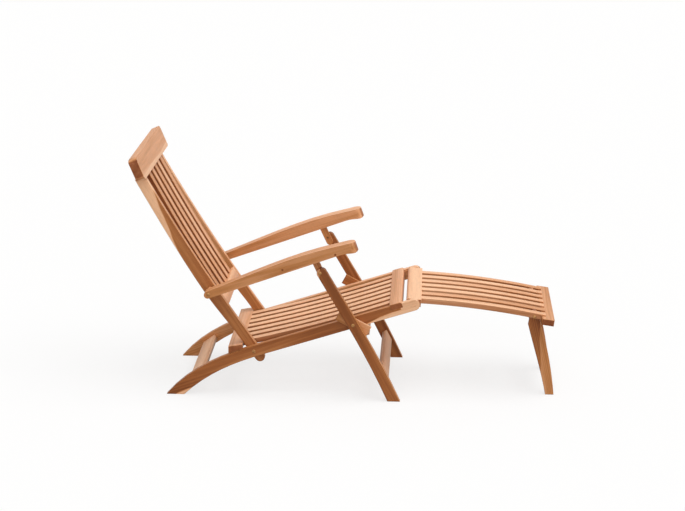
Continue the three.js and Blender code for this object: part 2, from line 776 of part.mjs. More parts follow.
const outer_slat_middle = end_board_half_width - foot_slat_edge_gap - seat_slat_width / 2;
const foot_slat_middles = slatMiddles(seat_slat_count, outer_slat_middle);
const foot_mortises = foot_slat_middles.map((middle) => footSlat(middle, fit_gap));
const foot_leg_outer = outer_slat_middle - seat_slat_width / 2 - foot_leg_side_gap;
const foot_leg_inner = foot_leg_outer - foot_leg_thickness;
foot_slat_middles.forEach((middle, place) => {
  let slat = footSlat(middle, 0);
  if (place === 0 || place === seat_slat_count - 1) {
    const half = seat_slat_width / 2;
    const side = Math.sign(middle);
    slat = cut(slat, [boltHole(foot_leg_pivot, side, outer_slat_middle - half, outer_slat_middle + half)]);
  }
  add(`footrest_slat_${place + 1}`, slat, place % 2 ? mid_teak : light_teak);
});
const foot_rail_tools = [...foot_mortises];
for (const [, side] of sides) {
  foot_rail_tools.push(boltHole(foot_pivot, side, foot_rail_end - hinge_hole_depth, foot_rail_end));
}
add(
  "footrest_rear_crossrail",
  cut(across(foot_rail_shape, -foot_rail_end, foot_rail_end), foot_rail_tools),
  light_teak,
);
const end_board_top = along(slat_tip, end_board_angle, 0, half_foot_slat - end_board_drop);
const end_board_shape = plank(end_board_top, end_board_angle, 0, end_board_width, -end_board_depth, 0);
add(
  "footrest_end_board",
  cut(across(end_board_shape, -end_board_half_width, end_board_half_width), foot_mortises),
  light_teak,
);

// Footrest legs, turning between the two outer slats of each side
const foot_leg_shape = new THREE.Shape();
const shoulder_z = foot_leg_pivot.y - foot_leg_shoulder_drop;
const shoulder_rear = point(foot_leg_pivot.x - foot_leg_shoulder_setback, shoulder_z);
const shoulder_front = point(shoulder_rear.x + foot_leg_shoulder_width, shoulder_z);
const foot_sole_rear = point(foot_leg_pivot.x + foot_leg_sole_lead, 0);
const foot_sole_front = point(foot_sole_rear.x + foot_leg_sole_length, 0);
foot_leg_shape.moveTo(foot_sole_rear.x, foot_sole_rear.y);
foot_leg_shape.lineTo(foot_sole_front.x, foot_sole_front.y);
bend(
  foot_leg_shape, foot_sole_front, foot_leg_front_sole_angle,
  shoulder_front, foot_leg_front_shoulder_angle, foot_leg_bend_share,
);
const neck_front = along(foot_leg_pivot, foot_leg_neck_angle, foot_leg_top_round);
foot_leg_shape.lineTo(neck_front.x, neck_front.y);
foot_leg_shape.absarc(
  foot_leg_pivot.x, foot_leg_pivot.y, foot_leg_top_round,
  foot_leg_neck_angle * radian, (straight_angle - foot_leg_neck_angle) * radian, false,
);
foot_leg_shape.lineTo(shoulder_rear.x, shoulder_rear.y);
bend(
  foot_leg_shape, shoulder_rear, foot_leg_rear_shoulder_angle,
  foot_sole_rear, foot_leg_rear_sole_angle, foot_leg_bend_share,
);
for (const [side_name, side] of sides) {
  const leg = across(foot_leg_shape, side * foot_leg_inner, side * foot_leg_outer);
  const hole = boltHole(foot_leg_pivot, side, foot_leg_inner, foot_leg_outer);
  add(`footrest_leg_${side_name}`, cut(leg, [hole]), dark_teak);
}
const foot_bar_shape = plank(
  point(foot_leg_pivot.x + foot_bar_lead, foot_bar_z), foot_bar_angle,
  -foot_bar_height / 2, foot_bar_height / 2, -foot_bar_depth / 2, foot_bar_depth / 2,
);
const foot_bar_end = foot_leg_inner - fit_gap;
add("footrest_leg_crossbar", across(foot_bar_shape, -foot_bar_end, foot_bar_end), mid_teak);

// Pivot bolts, each with a domed head at its outer end and a flat cap at its inner end
function bolt(name, centre, side, inner, outer, capped = true) {
  const cap = capped ? bolt_head_height : 0;
  const profile = [];
  if (capped) {
    profile.push(point(0, inner - cap));
    profile.push(point(bolt_head_round - bolt_rim_height, inner - cap));
    profile.push(point(bolt_head_round, inner - cap + bolt_rim_height));
    profile.push(point(bolt_head_round, inner));
  } else {
    profile.push(point(0, inner));
  }
  profile.push(point(bolt_round, inner));
  profile.push(point(bolt_round, outer));
  profile.push(point(bolt_head_round, outer));
  profile.push(point(bolt_head_round, outer + bolt_rim_height));
  profile.push(point(bolt_socket_round, outer + bolt_head_height));
  profile.push(point(bolt_socket_round, outer + bolt_head_height - bolt_socket_depth));
  profile.push(point(0, outer + bolt_head_height - bolt_socket_depth));
  const geometry = new THREE.LatheGeometry(profile, bolt_sides);
  if (side < 0) {
    geometry.rotateZ(Math.PI);
  }
  geometry.translate(centre.x, 0, centre.y);
  add(name, toGeometry(toSolid(geometry)), brass);
}

const arm_outer = arm_middle + arm_rear_width / 2 + overrun;
const outer_slat_face = outer_slat_middle + seat_slat_width / 2;
for (const [side_name, side] of sides) {
  bolt(`back_pivot_bolt_${side_name}`, back_pivot, side, stile_inner - fit_gap, rail_outer + fit_gap);
  bolt(`leg_pivot_bolt_${side_name}`, leg_pivot, side, rail_inner - fit_gap, leg_outer + fit_gap);
  bolt(`arm_rear_bolt_${side_name}`, arm_pivot, side, stile_inner - fit_gap, arm_outer);
  bolt(`arm_front_bolt_${side_name}`, lug_pivot, side, leg_inner + fit_gap, leg_outer + fit_gap, false);
  const hinge_outer = rail_outer - bolt_head_height;
  const hinge_inner = foot_rail_end - hinge_bolt_hold;
  bolt(`footrest_hinge_bolt_${side_name}`, foot_pivot, side, hinge_inner, hinge_outer, false);
  const leg_bolt_inner = foot_leg_inner - fit_gap;
  bolt(`footrest_leg_bolt_${side_name}`, foot_leg_pivot, side, leg_bolt_inner, outer_slat_face + fit_gap);
}

// The middle of the whole length stands over the origin
const bounds = new THREE.Box3().setFromObject(chair);
const middle_x = (bounds.min.x + bounds.max.x) / 2;
for (const mesh of chair.children) {
  mesh.geometry.translate(-middle_x, 0, 0);
}

export default chair;
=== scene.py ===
# %% [markdown]
# # A folding steamer deck chair
# A steamer chair is a long slatted lounge chair in oiled teak, with brass bolts at every joint.
# The sizes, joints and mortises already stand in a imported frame, so this lesson leaves every
# piece where the frame has it and spends its time on edges, slats, grain, brass and light.

# %% Load the fixed frame
import math
import random

import bmesh
import bpy
import numpy as np
from mathutils import Matrix, Vector


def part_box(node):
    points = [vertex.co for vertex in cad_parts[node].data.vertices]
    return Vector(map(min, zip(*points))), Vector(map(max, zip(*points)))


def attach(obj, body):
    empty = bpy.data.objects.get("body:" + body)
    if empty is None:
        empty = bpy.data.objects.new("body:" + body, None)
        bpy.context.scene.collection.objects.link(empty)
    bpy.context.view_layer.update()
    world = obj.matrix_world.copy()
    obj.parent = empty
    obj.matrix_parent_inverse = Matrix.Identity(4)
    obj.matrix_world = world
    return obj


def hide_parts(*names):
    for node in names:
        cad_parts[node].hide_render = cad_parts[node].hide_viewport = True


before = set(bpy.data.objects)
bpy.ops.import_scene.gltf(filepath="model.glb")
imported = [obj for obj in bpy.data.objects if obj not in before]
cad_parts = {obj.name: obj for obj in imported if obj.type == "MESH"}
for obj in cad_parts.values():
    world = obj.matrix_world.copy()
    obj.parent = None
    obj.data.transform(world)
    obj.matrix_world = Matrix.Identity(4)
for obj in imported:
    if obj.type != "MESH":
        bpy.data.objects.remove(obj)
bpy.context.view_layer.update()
millimetre = 0.001

# %% [markdown]
# ## The camera
# The photograph was taken from far away with a long lens, nearly square to the chair's side and
# a little above it. A long lens keeps the near and far legs almost the same size. The camera is
# placed by the way it looks, and not by pixels, so that the scene stays easy to change.

# %% Place the camera
picture_width = 685
focal_length = 2003
sensor_width = 36
far_clip = 200
view_turn = math.radians(2.58)
view_drop = math.radians(14.46)
view_roll = math.radians(0.4143)
view_distance = 7.667
view_target = Vector((-0.02118, 0, 0.4869))


def place_camera():
    looking = Vector((
        -math.sin(view_turn) * math.cos(view_drop),
        math.cos(view_turn) * math.cos(view_drop),
        -math.sin(view_drop),
    ))
    right = Vector((math.cos(view_turn), math.sin(view_turn), 0))
    above = right.cross(looking)
    side = right * math.cos(view_roll) + above * math.sin(view_roll)
    top = above * math.cos(view_roll) - right * math.sin(view_roll)
    data = bpy.data.cameras.new("camera")
    data.sensor_fit = "HORIZONTAL"
    data.sensor_width = sensor_width
    data.lens = focal_length / picture_width * sensor_width
    data.clip_end = far_clip
    camera = bpy.data.objects.new("camera", data)
    place = view_target - looking * view_distance
    camera.matrix_world = Matrix.Translation(place) @ Matrix((side, top, -looking)).transposed().to_4x4()
    bpy.context.scene.collection.objects.link(camera)
    bpy.context.scene.camera = camera
    return camera


camera = place_camera()
print("camera", [round(v, 3) for v in camera.matrix_world.translation], "lens", round(camera.data.lens, 1))

# %% [markdown]
# ## Small helpers for node trees
# Every material and every Geometry Nodes tree below is a handful of nodes and links. One helper
# that makes a node, sets its values and plugs in its links keeps each of those cells short.


# %% Helpers for nodes
def add_node(tree, kind, inputs=None, **settings):
    node = tree.nodes.new(kind)
    for name, value in settings.items():
        setattr(node, name, value)
    for name, value in (inputs or {}).items():
        if isinstance(value, bpy.types.NodeSocket):
            tree.links.new(value, node.inputs[name])
        else:
            node.inputs[name].default_value = value
    return node


def colour(code):
    """A hexadecimal screen colour as the linear colour that shaders work in."""
    parts = [int(code[place:place + 2], 16) / 255 for place in (0, 2, 4)]
    linear = [part / 12.92 if part <= 0.04045 else ((part + 0.055) / 1.055) ** 2.4 for part in parts]
    return (*linear, 1)


def new_material(name):
    material = bpy.data.materials.new(name)
    material.use_nodes = True
    material.node_tree.nodes.clear()
    return material, material.node_tree


# %% [markdown]
# ## Light, sky and floor
# A cut-out product picture is lit by two large soft boxes: the stronger one stands above and in
# front of the chair, so that tops and front faces are bright, and a weaker one stands behind the
# camera and opens up the sides. A pale sky fills what is left. Together they give a top face a
# level near one, where a colour renders about as it is written. The floor is white to the camera
# but keeps the soft shadow under the feet.

# %% Light the scene
sky_level = 0.4
soft_boxes = (
    ("key_box", 1.85, 55, (0.32, -0.18, 0.93)),
    ("fill_box", 1.25, 60, (0.05, -0.99, 0.12)),
)
floor_reach = 60
floor_glow_share = 0.72
floor_corners = ((-1, -1), (1, -1), (1, 1), (-1, 1))
white = (1, 1, 1, 1)
paper_white = (0.97, 0.97, 0.97, 1)
bounce_grey = (0.34, 0.325, 0.3, 1)


def sees_backdrop(tree):
    """One where a ray comes from the camera or from gloss or glass, and zero for other light."""
    path = add_node(tree, "ShaderNodeLightPath")
    either = add_node(tree, "ShaderNodeMath", {0: path.outputs["Is Camera Ray"],
                      1: path.outputs["Is Glossy Ray"]}, operation="ADD", use_clamp=True)
    return add_node(tree, "ShaderNodeMath", {0: either.outputs[0],
                    1: path.outputs["Is Transmission Ray"]}, operation="ADD", use_clamp=True).outputs[0]


def light_sky():
    world = bpy.data.worlds.new("pale_sky")
    world.use_nodes = True
    tree = world.node_tree
    tree.nodes.clear()
    lit = add_node(tree, "ShaderNodeBackground", {"Color": colour("fffdfa"), "Strength": sky_level})
    seen = add_node(tree, "ShaderNodeBackground", {"Color": white, "Strength": 1})
    mixed = add_node(tree, "ShaderNodeMixShader",
                     {0: sees_backdrop(tree), 1: lit.outputs[0], 2: seen.outputs[0]})
    add_node(tree, "ShaderNodeOutputWorld", {"Surface": mixed.outputs[0]})
    bpy.context.scene.world = world


def light_box(name, level, softness, direction):
    data = bpy.data.lights.new(name, "SUN")
    data.energy = level
    data.angle = math.radians(softness)
    lamp = bpy.data.objects.new(name, data)
    lamp.rotation_euler = Vector(direction).to_track_quat("Z", "Y").to_euler()
    bpy.context.scene.collection.objects.link(lamp)


def lay_floor():
    mesh = bpy.data.meshes.new("floor")
    corners = [(x * floor_reach, y * floor_reach, -millimetre / 2) for x, y in floor_corners]
    mesh.from_pydata(corners, [], [(0, 1, 2, 3)])
    floor = bpy.data.objects.new("floor", mesh)
    bpy.context.scene.collection.objects.link(floor)
    material, tree = new_material("white_floor")
    paper = add_node(tree, "ShaderNodeBsdfDiffuse", {"Color": paper_white})
    glow = add_node(tree, "ShaderNodeEmission", {"Color": white, "Strength": 1})
    shown = add_node(tree, "ShaderNodeMixShader",
                     {0: floor_glow_share, 1: paper.outputs[0], 2: glow.outputs[0]})
    bounce = add_node(tree, "ShaderNodeBsdfDiffuse", {"Color": bounce_grey})
    mixed = add_node(tree, "ShaderNodeMixShader",
                     {0: sees_backdrop(tree), 1: bounce.outputs[0], 2: shown.outputs[0]})
    add_node(tree, "ShaderNodeOutputMaterial", {"Surface": mixed.outputs[0]})
    mesh.materials.append(material)


light_sky()
for box in soft_boxes:
    light_box(*box)
lay_floor()
bpy.context.scene.view_settings.view_transform = "Standard"
print("sky", sky_level, "soft boxes", [(name, level) for name, level, *_ in soft_boxes])

# %% [markdown]
# ## Oiled teak
# Teak has a straight grain, fine dark pores, faint growth rings, and a sharp border between its
# brown heartwood and its pale sapwood, which many of these boards show. Each piece is sawn along
# its own length, so the pattern can't lie in the world's directions. Every piece therefore
# carries the same six attributes: its grain coordinates, a tone, a paler tone, the distances to
# its sapwood borders, which on the near rail bound a band of painted shade, how much oil a face
# has drunk together with painted shade on slat sides, and how much painted light a face turned
# toward the key light gets. One material then serves the whole chair.

# %% Make the teak material
teak_tones = ((0.0, "fcc89e"), (0.3, "eaab7d"), (0.62, "c5824a"), (0.85, "a05c28"), (1.0, "824411"))
# The dark tint of oil-soaked end grain, which also serves as painted shade on the narrow sides of slats.
oil_and_side_shade_tint = (0.5, 0.345, 0.235)
# How much paler painted light makes a face turned toward the key light.
painted_light_reach = 0.3
ring_width = 0.0042
ring_scale = 0.314 / ring_width
noise_low, noise_high = 0.3, 0.7
border_noise = (4, 20)
border_wander = 0.005
border_soft_low, border_soft_high = -0.002, 0.003
band_noise = (1.6, 42)
band_depth = 0.16
ring_draw = (0.1, 1)
ring_distortion = 5
ring_detail_scale = 0.35
ring_pale, ring_dark = -0.05, 0.07
fibre_noise = (18, 620)
fibre_dark, fibre_light = 0.86, 1.06
pore_noise = (55, 1900)
pore_start, pore_full = 0.64, 0.74
pore_dark = 0.74
teak_gloss_low, teak_gloss_high = 0.46, 0.6
teak_shine = 0.35
teak_relief = 0.18
teak_relief_height = 0.0006


def stretched(tree, vector, scales):
    """Grain coordinates drawn out along the board, for patterns that are long and thin."""
    along, across = scales
    return add_node(tree, "ShaderNodeVectorMath", {0: vector, 1: (along, across, across)},
                    operation="MULTIPLY").outputs[0]


def noise(tree, vector, detail=2.0, rough=0.55):
    return add_node(tree, "ShaderNodeTexNoise", {"Vector": vector, "Scale": 1, "Detail": detail,
                    "Roughness": rough}).outputs["Fac"]


def remap(tree, value, low, high, to_low, to_high, kind="LINEAR"):
    return add_node(tree, "ShaderNodeMapRange", {"Value": value, "From Min": low, "From Max": high,
                    "To Min": to_low, "To Max": to_high}, interpolation_type=kind).outputs[0]


def combine(tree, first, second, operation="ADD", clamp=False):
    return add_node(tree, "ShaderNodeMath", {0: first, 1: second}, operation=operation,
                    use_clamp=clamp).outputs[0]


def blend_numbers(tree, share, first, second):
    return add_node(tree, "ShaderNodeMix", {0: share, 2: first, 3: second}).outputs[0]


def multiply_colour(tree, base, value):
    return add_node(tree, "ShaderNodeVectorMath", {0: base, 1: value}, operation="MULTIPLY").outputs[0]


def make_teak():
    material, tree = new_material("oiled_teak")
    read = {name: add_node(tree, "ShaderNodeAttribute", attribute_name=name)
            for name in ("grain", "tone", "pale", "heart", "oil", "bleach")}
    grain = read["grain"].outputs["Vector"]
    oil = read["oil"].outputs["Fac"]

    wander = remap(tree, noise(tree, stretched(tree, grain, border_noise)), noise_low, noise_high,
                   -border_wander, border_wander)
    borders = add_node(tree, "ShaderNodeSeparateXYZ", {0: read["heart"].outputs["Vector"]}).outputs
    border = combine(tree, combine(tree, borders["X"], borders["Y"], "MINIMUM"), wander)
    heart = remap(tree, border, border_soft_low, border_soft_high, 0, 1, "SMOOTHSTEP")
    depth = blend_numbers(tree, heart, read["pale"].outputs["Fac"], read["tone"].outputs["Fac"])

    bands = remap(tree, noise(tree, stretched(tree, grain, band_noise), 3), noise_low, noise_high,
                  -band_depth, band_depth)
    wave = add_node(tree, "ShaderNodeTexWave", {
        "Vector": stretched(tree, grain, ring_draw), "Scale": ring_scale,
        "Distortion": ring_distortion, "Detail": 2, "Detail Scale": ring_detail_scale,
        "Detail Roughness": 0.5,
    }, wave_type="RINGS", rings_direction="X")
    rings = remap(tree, wave.outputs["Fac"], 0, 1, ring_pale, ring_dark)
    # Painted light: faces turned toward the key light are made paler.
    painted_light_shift = combine(tree, read["bleach"].outputs["Fac"], -painted_light_reach, "MULTIPLY")
    depth = combine(tree, combine(tree, depth, bands), combine(tree, rings, painted_light_shift), clamp=True)

    ramp = add_node(tree, "ShaderNodeValToRGB", {"Fac": depth})
    stops = ramp.color_ramp.elements
    while len(stops) < len(teak_tones):
        stops.new(0.5)
    for stop, (place, code) in zip(stops, teak_tones):
        stop.position = place
        stop.color = colour(code)

    fibre = noise(tree, stretched(tree, grain, fibre_noise), 3)
    pores = noise(tree, stretched(tree, grain, pore_noise), 1)
    fibre_shade = remap(tree, fibre, noise_low, noise_high, fibre_dark, fibre_light)
    pore_shade = remap(tree, pores, pore_start, pore_full, 1, pore_dark)
    shade = combine(tree, fibre_shade, pore_shade, "MULTIPLY")
    # This tint darkens oil-soaked end grain and puts painted shade on slat sides.
    oiled_and_shaded = add_node(tree, "ShaderNodeMix", {0: oil, 4: (1, 1, 1), 5: oil_and_side_shade_tint},
                     data_type="VECTOR").outputs[1]
    painted = multiply_colour(tree, multiply_colour(tree, ramp.outputs["Color"], shade), oiled_and_shaded)

    roughness = remap(tree, fibre, noise_low, noise_high, teak_gloss_low, teak_gloss_high)
    relief = combine(tree, fibre, combine(tree, pore_shade, wave.outputs["Fac"]))
    bump = add_node(tree, "ShaderNodeBump",
                    {"Height": relief, "Strength": teak_relief, "Distance": teak_relief_height})
    surface = add_node(tree, "ShaderNodeBsdfPrincipled", {
        "Base Color": painted, "Roughness": roughness, "Normal": bump.outputs[0],
        "Specular IOR Level": teak_shine, "IOR": 1.5,
    })
    add_node(tree, "ShaderNodeOutputMaterial", {"Surface": surface.outputs[0]})
    return material


teak = make_teak()
print("teak", len(teak.node_tree.nodes), "nodes, rings", ring_width, "m apart")

# %% [markdown]
# ## Writing the grain onto a board
# A saw cuts a board along its grain, so one direction serves a whole board even where the board
# is bent. The function below turns every point into distances along and across that direction,
# moved by a random amount so that no two boards show the same rings. It also measures how far
# each point lies from each sapwood border. Faces that cut across the grain drink more oil and
# turn dark, the sides of slats can get painted shade in the same dark tint, and faces turned up
# or forward toward the key light get painted light and turn pale.

# %% Write the grain onto a board
grain_spread = 0.35
ring_middle = 0.09
ring_reach_low, ring_reach_high = 0.6, 1.3
end_start = 0.72
end_full = 0.92
# Painted light starts on faces turned this far toward the key light and is full on faces turned this far.
painted_light_start = 0.3
painted_light_full = 0.8
quarter_turn = 90


def heading(angle):
    """A direction in the chair's side view, from its angle above the floor in degrees."""
    return Vector((math.cos(math.radians(angle)), 0, math.sin(math.radians(angle))))


across_chair = Vector((0, 1, 0))
# The key light's direction: faces turned toward it get painted light.
painted_light_direction = np.array((0.45, 0, 0.89))


def spread(values, low, high):
    return np.clip((values - low) / (high - low), 0, 1)


def write_values(mesh, name, kind, domain, values, field="value"):
    layer = mesh.attributes.get(name) or mesh.attributes.new(name, kind, domain)
    layer.data.foreach_set(field, np.ascontiguousarray(values, dtype=np.float32).ravel())


def mark_grain(piece, along, seed, tone, pale=None, borders=(), side_shade=0):
    """Gives a piece its grain. A tone is 0 for pale and 1 for dark wood, or a pair for the tones
    at its two ends. A border is a point, a heading and a sign: the wood on the heading's left is
    heartwood for 1 and sapwood for -1. Wood is heartwood only where every border agrees."""
    mesh = piece.data
    rule = random.Random(seed)
    along = along.normalized()
    wide = across_chair if abs(along.y) < 0.5 else Vector((1, 0, 0))
    deep = along.cross(wide).normalized()
    axes = np.array([along, wide, deep])
    points = np.zeros(len(mesh.vertices) * 3)
    mesh.vertices.foreach_get("co", points)
    points = points.reshape(-1, 3)
    local = points @ axes.T
    count = len(points)
    first, last = tone if isinstance(tone, tuple) else (tone, tone)
    share = (local[:, 0] - local[:, 0].min()) / np.ptp(local[:, 0])
    tones = first + (last - first) * share
    local -= local.mean(0)
    turn = rule.uniform(0, 2 * math.pi)
    reach = ring_middle * rule.uniform(ring_reach_low, ring_reach_high)
    local += [rule.uniform(-grain_spread, grain_spread), reach * math.cos(turn), reach * math.sin(turn)]
    write_values(mesh, "grain", "FLOAT_VECTOR", "POINT", local, "vector")
    write_values(mesh, "tone", "FLOAT", "POINT", tones)
    write_values(mesh, "pale", "FLOAT", "POINT", tones if pale is None else np.full(count, pale))
    far = np.ones((count, 3))
    for column, (place, angle, sign) in enumerate(borders):
        far[:, column] = sign * ((points - np.array(place)) @ np.array(heading(angle + quarter_turn)))
    write_values(mesh, "heart", "FLOAT_VECTOR", "POINT", far, "vector")
    normals = np.zeros(len(mesh.polygons) * 3)
    mesh.polygons.foreach_get("normal", normals)
    normals = normals.reshape(-1, 3)
    cut = spread(np.abs(normals @ np.array(along)), end_start, end_full)
    # Slat sides facing across the chair get painted shade, for the shade between neighbouring slats.
    painted_side_shade = side_shade * spread(np.abs(normals[:, 1]), end_start, end_full)
    write_values(mesh, "oil", "FLOAT", "FACE", np.maximum(cut, painted_side_shade))
    # Faces turned toward the key light get painted light, which makes them paler.
    write_values(mesh, "bleach", "FLOAT", "FACE", spread(normals @ painted_light_direction, painted_light_start, painted_light_full))
    return piece


print("grain helpers, rings about", ring_middle, "m from the middle of the tree")

# %% [markdown]
# ## Boards with eased edges
# Rails, legs, arms and crossrails are sawn boards whose edges a sander has eased. Their shapes
# and mortises are already right in the frame. Each is copied, welded and shaded smoothly across
# its narrow chamfers, with the wide faces ruling the normals, which reads as a rounded edge and
# keeps the flat faces flat.

# %% Ease the edges of a board
weld_distance = 0.00001
flat_angle = math.radians(0.4)
sharp_angle = math.radians(62)


def plain_mesh(piece):
    """Applies a piece's modifiers by taking its evaluated mesh."""
    bpy.context.view_layer.update()
    seen = piece.evaluated_get(bpy.context.evaluated_depsgraph_get())
    mesh = bpy.data.meshes.new_from_object(seen)
    old = piece.data
    piece.modifiers.clear()
    piece.data = mesh
    mesh.name = piece.name
    bpy.data.meshes.remove(old)
    return piece


def ease_edges(piece):
    work = bmesh.new()
    work.from_mesh(piece.data)
    bmesh.ops.remove_doubles(work, verts=work.verts, dist=weld_distance)
    bmesh.ops.dissolve_limit(work, angle_limit=flat_angle, verts=work.verts, edges=work.edges)
    for face in work.faces:
        face.smooth = True
    for edge in work.edges:
        edge.smooth = edge.calc_face_angle(math.pi) < sharp_angle
    work.to_mesh(piece.data)
    work.free()
    even = piece.modifiers.new("even_normals", "WEIGHTED_NORMAL")
    even.keep_sharp = True
    return plain_mesh(piece)


def copy_node(node, name):
    piece = bpy.data.objects.new(name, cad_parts[node].data.copy())
    bpy.context.scene.collection.objects.link(piece)
    piece.data.materials.clear()
    piece.data.materials.append(teak)
    return piece


def board(node, body, slot, along, tone, pale=None, borders=()):
    piece = ease_edges(copy_node(node, "wood_" + node))
    mark_grain(piece, along, node, tone, pale, borders)
    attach(piece, body)
    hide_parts(node)
    return piece


print("edges sharper than", round(math.degrees(sharp_angle)), "degrees stay sharp")

# %% [markdown]
# ## The frame's sloping boards
# The rails, the back stiles, the arms and the legs are each one board. Several of them show
# where heartwood meets sapwood, such as the pale streak down the lower half of the near footrest
# leg, so those borders are given. On the near rail the borders mark painted shade instead: a dark
# band along its top, under the overhanging slats and front crossrail, which stops short of its
# pale round end.

# %% Make the sloping boards
seat_slope = 17.8
back_slope = 122.8
arm_slope = 19.9
leg_slope = -62.5
foot_leg_slope = -77.0


def spot(x, z):
    """A place in the side view, in millimetres."""
    return Vector((x, 0, z)) * millimetre


# Each border is a place on it, its heading and the side that is heartwood
# The near rail's borders paint shade: a dark band along its top, under the overhanging slats and front
# crossrail, that stops short of its pale round end.
rail_shade_borders = ((spot(100, 300), seat_slope + 4.5, 1), (spot(213, 350), seat_slope + quarter_turn, 1))
stile_borders = ((spot(-662, 650), 112, -1),)
leg_borders = ((spot(-94, 470), -85, 1),)
foot_leg_borders = ((spot(740, 140), foot_leg_slope - 9, -1),)

# Node, body, slot, heading, tone, and where it has borders also the sapwood's tone
sloping_boards = (
    ("side_rail_right", "seat", "mid_teak", seat_slope + 2, (0.9, 0.86), 0.12, rail_shade_borders),
    ("side_rail_left", "seat", "mid_teak", seat_slope + 4, (0.6, 0.4)),
    ("back_stile_right", "back", "mid_teak", back_slope, (0.76, 0.7), 0.04, stile_borders),
    ("back_stile_left", "back", "mid_teak", back_slope, (0.7, 0.3)),
    ("armrest_right", "arm_right", "mid_teak", arm_slope, 0.56),
    ("armrest_left", "arm_left", "mid_teak", arm_slope, (0.64, 0.46)),
    ("main_leg_right", "legs", "dark_teak", leg_slope, (1.0, 0.86), 0.4, leg_borders),
    ("main_leg_left", "legs", "dark_teak", leg_slope, (0.78, 0.86)),
    ("footrest_leg_right", "footrest_legs", "dark_teak", foot_leg_slope, 0.92, 0.6, foot_leg_borders),
    ("footrest_leg_left", "footrest_legs", "dark_teak", foot_leg_slope, 0.78),
)
for node, body, slot, slope, *look in sloping_boards:
    board(node, body, slot, heading(slope), *look)

# %% [markdown]
# ## Small blocks, lugs and spacers
# The blocks inside the legs, the lugs under the arms and the round spacers behind the arms are
# offcuts of the same boards, so they are made in the same way.

# %% Make the small blocks
lug_slope = 115
block_slope = -27
for side, body in (("right", "arm_right"), ("left", "arm_left")):
    board(f"arm_lug_{side}", body, "light_teak", heading(lug_slope), 0.6)
    board(f"arm_spacer_{side}", "back", "dark_teak", across_chair, 0.8)
board("pivot_block_right", "legs", "mid_teak", heading(block_slope), (0.66, 0.42))
board("pivot_block_left", "legs", "mid_teak", heading(block_slope), 0.86)

# %% [markdown]
# ## Boards that lie across the chair
# Crossrails, stretchers, the headrest and the footrest's end board run from side to side, so
# their grain does too, and their ends show dark end grain. The stretchers and crossbars lie in
# the shade under the seat, so they get no painted light.

# %% Make the boards across the chair
headrest_slope = 113.1
headrest_strip = 0.027
headrest_low, headrest_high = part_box("headrest_board")
headrest_front = Vector((headrest_high.x, 0, headrest_low.z))
strip = headrest_front + heading(headrest_slope) * headrest_strip
headrest_borders = ((strip, headrest_slope - quarter_turn, 1),)
for node, body, slot, tone, *look in (
    ("rear_stretcher", "seat", "light_teak", 0.06),
    ("seat_rear_crossrail", "seat", "mid_teak", 0.56),
    ("seat_front_crossrail", "seat", "light_teak", 0.54),
    ("back_lower_crossrail", "back", "light_teak", 0.5),
    ("headrest_board", "back", "light_teak", 0.58, 0.08, headrest_borders),
    ("stop_crossbar", "legs", "mid_teak", 0.2),
    ("leg_stretcher", "legs", "light_teak", 0.2),
    ("footrest_rear_crossrail", "footrest", "light_teak", 0.3),
    ("footrest_end_board", "footrest", "light_teak", 0.74),
    ("footrest_leg_crossbar", "footrest_legs", "mid_teak", 0.4),
):
    piece = board(node, body, slot, across_chair, tone, *look)
    # Stretchers and crossbars in the shade under the seat get no painted light.
    if node.endswith(("stretcher", "crossbar")):
        write_values(piece.data, "bleach", "FLOAT", "FACE", np.zeros(len(piece.data.polygons)))

# %% [markdown]
# ## Slats, swept along a bow
# A run of slats is one strip repeated at an even pitch, so Geometry Nodes make it: a profile
# with rounded corners is swept along one bowed line, and the strip is instanced on a row of
# points. The bow, pitch, width and depth are measured on the frame, so the slats enter their
# mortises exactly. Drawing each slat by hand would give the same picture with more to keep.

# %% Build the slat tree
slat_edge = 0.0032
slat_edge_steps = 3
slat_bow_steps = 24


